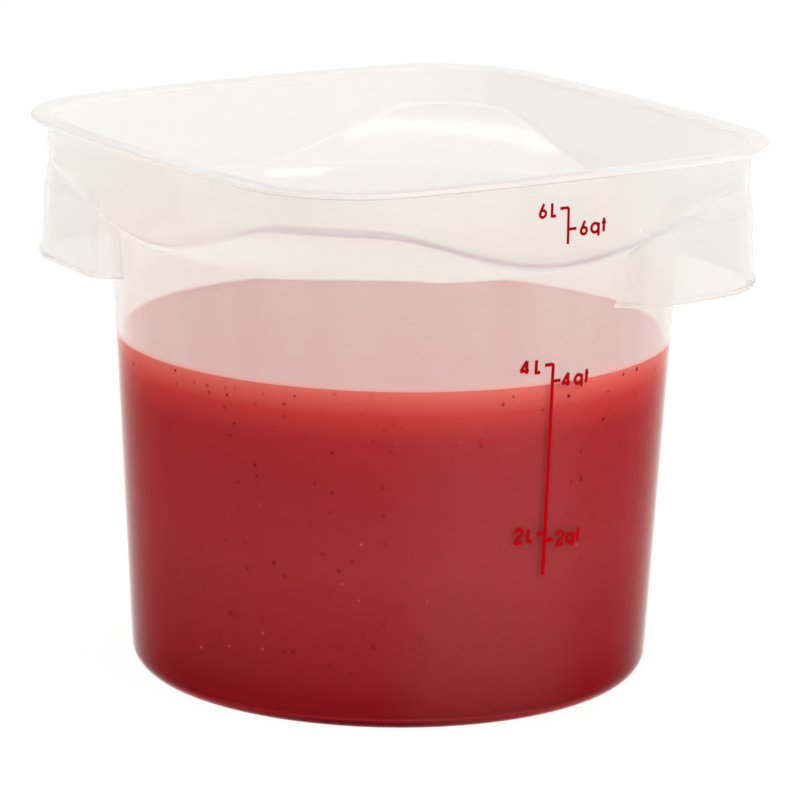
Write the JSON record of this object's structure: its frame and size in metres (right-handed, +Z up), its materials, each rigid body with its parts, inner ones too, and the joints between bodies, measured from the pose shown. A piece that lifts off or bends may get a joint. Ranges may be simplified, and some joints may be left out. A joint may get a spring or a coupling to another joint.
{
  "type": "round food storage container",
  "caption": "Translucent plastic tub with a tapered round body, a rounded-square rim, skirted corner handles and a printed volume scale, holding red puree.",
  "frame": {"origin": "centre of the foot, on the table", "axes": "+Z up, +X and -X through the two handle corners, printed scale on the side between +X and -Y"},
  "size_m": [0.276, 0.276, 0.2054],
  "materials": {
    "translucent_polypropylene": "satin",
    "fruit_puree": "satin",
    "scale_ink": "satin"
  },
  "bodies": {
    "root": {"container_body": "translucent_polypropylene", "food_fill": "fruit_puree"}
  },
  "joints": []
}
